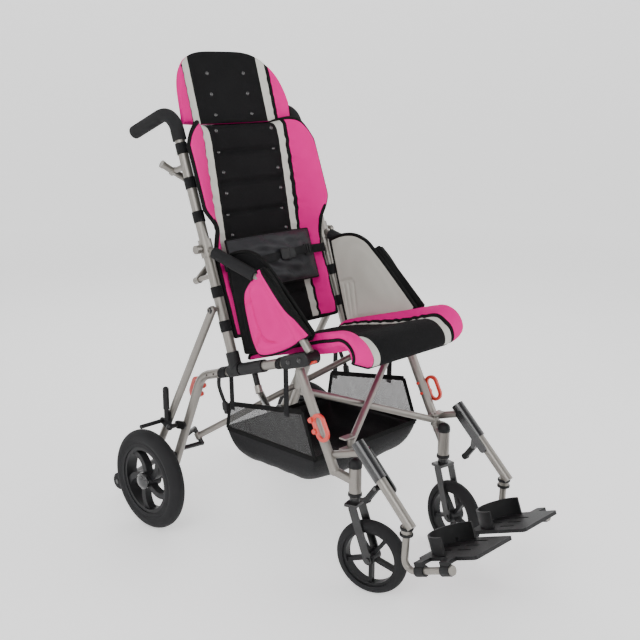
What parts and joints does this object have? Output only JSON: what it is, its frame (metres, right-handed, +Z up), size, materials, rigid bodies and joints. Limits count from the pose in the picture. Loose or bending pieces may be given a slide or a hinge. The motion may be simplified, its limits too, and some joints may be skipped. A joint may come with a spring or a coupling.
{
  "type": "special needs buggy",
  "caption": "Folding special needs buggy with padded tilted seat, tall back and head cushion, swivel casters, footrests, wheel locks, tie-down loops and basket",
  "frame": {"origin": "on the floor under the middle of the bounding box", "axes": "+Z up, the buggy heads along -Y, +X is the occupant's left; the side frames, wheels and cushions mirror about X"},
  "size_m": [0.718, 1.2972, 1.3531],
  "materials": {
    "frame_silver": "satin warm silver-grey paint",
    "black_metal": "satin black paint",
    "black_plastic": "fine-grained moulded nylon",
    "gloss_black": "gloss black sleeve",
    "foam": "dark grey foam",
    "tyre": "solid rubber tyre",
    "rim": "dark grey moulded nylon",
    "loop_red": "coral red powder coat",
    "pink_fabric": "hot pink woven nylon, quilted",
    "black_fabric": "black padded knit",
    "charcoal_fabric": "charcoal nylon",
    "mesh_fabric": "black fabric with grey mesh sides"
  },
  "bodies": {
    "right_frame": {"right_side_tube": "frame_silver", "right_rear_bracket": "black_metal", "right_front_leg": "frame_silver", "right_back_post": "frame_silver", "right_rear_strut": "frame_silver", "right_foam_sleeves": "foam", "right_arm_tube": "frame_silver", "right_side_panel": "pink_fabric", "right_tie_downs": "loop_red", "right_fittings": "black_plastic", "right_post_bands": "black_fabric", "right_hanger": "gloss_black", "right_anti_tip": "black_metal", "seat_cushion": "black_fabric", "back_cushion": "black_fabric", "head_cushion": "black_fabric", "lap_pad": "charcoal_fabric", "basket": "mesh_fabric"},
    "left_frame": {"left_side_tube": "frame_silver", "left_rear_bracket": "black_metal", "left_front_leg": "frame_silver", "left_back_post": "frame_silver", "left_rear_strut": "frame_silver", "left_foam_sleeves": "foam", "left_arm_tube": "frame_silver", "left_side_panel": "pink_fabric", "left_tie_downs": "loop_red", "left_fittings": "black_plastic", "left_post_bands": "black_fabric", "left_hanger": "gloss_black", "left_anti_tip": "black_metal"},
    "right_rear_wheel": {"right_rear_tyre": "tyre", "right_rear_rim": "rim"},
    "right_caster": {"right_caster_fork": "black_metal"},
    "right_caster_wheel": {"right_caster_tyre": "tyre", "right_caster_rim": "rim"},
    "right_lock": {"right_wheel_lock": "black_plastic"},
    "right_footrest": {"right_foot_tube": "frame_silver"},
    "right_plate": {"right_footplate": "black_plastic"},
    "right_latch": {"right_latch_lever": "black_plastic"},
    "right_front_brace": {"right_front_cross": "frame_silver"},
    "right_back_brace": {"right_back_cross": "frame_silver"},
    "right_rear_brace": {"right_rear_cross": "frame_silver"},
    "right_slider": {"right_rail_sleeve": "black_plastic"},
    "right_tip_roller": {"right_anti_tip_wheel": "black_plastic"},
    "left_rear_wheel": {"left_rear_tyre": "tyre", "left_rear_rim": "rim"},
    "left_caster": {"left_caster_fork": "black_metal"},
    "left_caster_wheel": {"left_caster_tyre": "tyre", "left_caster_rim": "rim"},
    "left_lock": {"left_wheel_lock": "black_plastic"},
    "left_footrest": {"left_foot_tube": "frame_silver"},
    "left_plate": {"left_footplate": "black_plastic"},
    "left_latch": {"left_latch_lever": "black_plastic"},
    "left_front_brace": {"left_front_cross": "frame_silver"},
    "left_back_brace": {"left_back_cross": "frame_silver"},
    "left_rear_brace": {"left_rear_cross": "frame_silver"},
    "left_slider": {"left_rail_sleeve": "black_plastic"},
    "left_tip_roller": {"left_anti_tip_wheel": "black_plastic"}
  },
  "joints": [
    {"name": "fold", "type": "slide", "parent": "right_frame", "child": "left_frame", "axis": [-1, 0, 0], "range_m": [0, 0.11], "deforming": ["seat_cushion", "back_cushion", "head_cushion", "lap_pad", "basket"]},
    {"name": "right_wheel_spin", "type": "hinge", "parent": "right_frame", "child": "right_rear_wheel", "pos_m": [-0.326, 0.38658, 0.146], "axis": [1, 0, 0], "continuous": true},
    {"name": "right_caster_swivel", "type": "hinge", "parent": "right_frame", "child": "right_caster", "pos_m": [-0.182, -0.27842, 0.25], "axis": [0, 0, 1], "continuous": true},
    {"name": "right_caster_spin", "type": "hinge", "parent": "right_caster", "child": "right_caster_wheel", "pos_m": [-0.16906, -0.32671, 0.098], "axis": [0.9659, 0.2588, 0], "continuous": true},
    {"name": "right_lock_lever", "type": "hinge", "parent": "right_frame", "child": "right_lock", "pos_m": [-0.271, 0.35858, 0.296], "axis": [-1, 0, 0], "range_deg": [0, 16]},
    {"name": "right_footrest_slide", "type": "slide", "parent": "right_frame", "child": "right_footrest", "axis": [0, 0.72, 0.694], "range_m": [0, 0.08]},
    {"name": "right_plate_flip", "type": "hinge", "parent": "right_footrest", "child": "right_plate", "pos_m": [-0.204, -0.45942, 0.118], "axis": [0, -0.9336, 0.3584], "range_deg": [0, 32]},
    {"name": "right_latch_press", "type": "hinge", "parent": "right_frame", "child": "right_latch", "pos_m": [-0.204, -0.3682, 0.30706], "axis": [1, 0, 0], "range_deg": [0, 18], "stiffness_Nm_per_rad": 0.6, "springref_deg": -20.05},
    {"name": "right_front_brace_swing", "type": "hinge", "parent": "right_frame", "child": "right_front_brace", "pos_m": [-0.172, -0.25342, 0.386], "axis": [0, 0, 1], "range_deg": [0, 26.21]},
    {"name": "right_back_brace_swing", "type": "hinge", "parent": "right_frame", "child": "right_back_brace", "pos_m": [-0.225, 0.36215, 1.02243], "axis": [0, 0.9414, -0.3373], "range_deg": [0, 17.29]},
    {"name": "right_rear_brace_swing", "type": "hinge", "parent": "right_frame", "child": "right_rear_brace", "pos_m": [-0.15198, 0.37705, 0.2331], "axis": [0.1524, -0.4975, -0.854], "range_deg": [0, 13.71]},
    {"name": "right_slider_run", "type": "slide", "parent": "right_frame", "child": "right_slider", "axis": [0, -0.9514, 0.3078], "range_m": [0, 0.07965]},
    {"name": "right_tip_roller_spin", "type": "hinge", "parent": "right_frame", "child": "right_tip_roller", "pos_m": [-0.269, 0.62258, 0.052], "axis": [1, 0, 0], "continuous": true},
    {"name": "left_wheel_spin", "type": "hinge", "parent": "left_frame", "child": "left_rear_wheel", "pos_m": [0.326, 0.38658, 0.146], "axis": [1, 0, 0], "continuous": true},
    {"name": "left_caster_swivel", "type": "hinge", "parent": "left_frame", "child": "left_caster", "pos_m": [0.182, -0.27842, 0.25], "axis": [0, 0, 1], "continuous": true},
    {"name": "left_caster_spin", "type": "hinge", "parent": "left_caster", "child": "left_caster_wheel", "pos_m": [0.17418, -0.3278, 0.098], "axis": [0.9877, -0.1564, 0], "continuous": true},
    {"name": "left_lock_lever", "type": "hinge", "parent": "left_frame", "child": "left_lock", "pos_m": [0.271, 0.35858, 0.296], "axis": [-1, 0, 0], "range_deg": [0, 16]},
    {"name": "left_footrest_slide", "type": "slide", "parent": "left_frame", "child": "left_footrest", "axis": [0, 0.72, 0.694], "range_m": [0, 0.08]},
    {"name": "left_plate_flip", "type": "hinge", "parent": "left_footrest", "child": "left_plate", "pos_m": [0.204, -0.45942, 0.118], "axis": [0, 0.9336, -0.3584], "range_deg": [0, 32]},
    {"name": "left_latch_press", "type": "hinge", "parent": "left_frame", "child": "left_latch", "pos_m": [0.204, -0.3682, 0.30706], "axis": [1, 0, 0], "range_deg": [0, 18], "stiffness_Nm_per_rad": 0.6, "springref_deg": -20.05},
    {"name": "left_front_brace_swing", "type": "hinge", "parent": "left_frame", "child": "left_front_brace", "pos_m": [0.172, -0.25342, 0.358], "axis": [0, 0, -1], "range_deg": [0, 26.21]},
    {"name": "left_back_brace_swing", "type": "hinge", "parent": "left_frame", "child": "left_back_brace", "pos_m": [0.225, 0.38192, 1.01535], "axis": [0, -0.9414, 0.3373], "range_deg": [0, 17.29]},
    {"name": "left_rear_brace_swing", "type": "hinge", "parent": "left_frame", "child": "left_rear_brace", "pos_m": [0.14802, 0.36412, 0.2109], "axis": [0.1524, 0.4975, 0.854], "range_deg": [0, 13.71]},
    {"name": "left_slider_run", "type": "slide", "parent": "left_frame", "child": "left_slider", "axis": [0, -0.9514, 0.3078], "range_m": [0, 0.07965]},
    {"name": "left_tip_roller_spin", "type": "hinge", "parent": "left_frame", "child": "left_tip_roller", "pos_m": [0.269, 0.62258, 0.052], "axis": [1, 0, 0], "continuous": true}
  ],
  "couplings": [
    {"joint": "right_plate_flip", "follows": "fold", "rad_per_m": 5.0773},
    {"joint": "right_front_brace_swing", "follows": "fold", "rad_per_m": 4.1583},
    {"joint": "right_back_brace_swing", "follows": "fold", "rad_per_m": 2.7428},
    {"joint": "right_rear_brace_swing", "follows": "fold", "rad_per_m": 2.1746},
    {"joint": "right_slider_run", "follows": "fold", "ratio": 0.72408},
    {"joint": "left_plate_flip", "follows": "fold", "rad_per_m": 5.0773},
    {"joint": "left_front_brace_swing", "follows": "fold", "rad_per_m": 4.1583},
    {"joint": "left_back_brace_swing", "follows": "fold", "rad_per_m": 2.7428},
    {"joint": "left_rear_brace_swing", "follows": "fold", "rad_per_m": 2.1746},
    {"joint": "left_slider_run", "follows": "fold", "ratio": 0.72408}
  ]
}
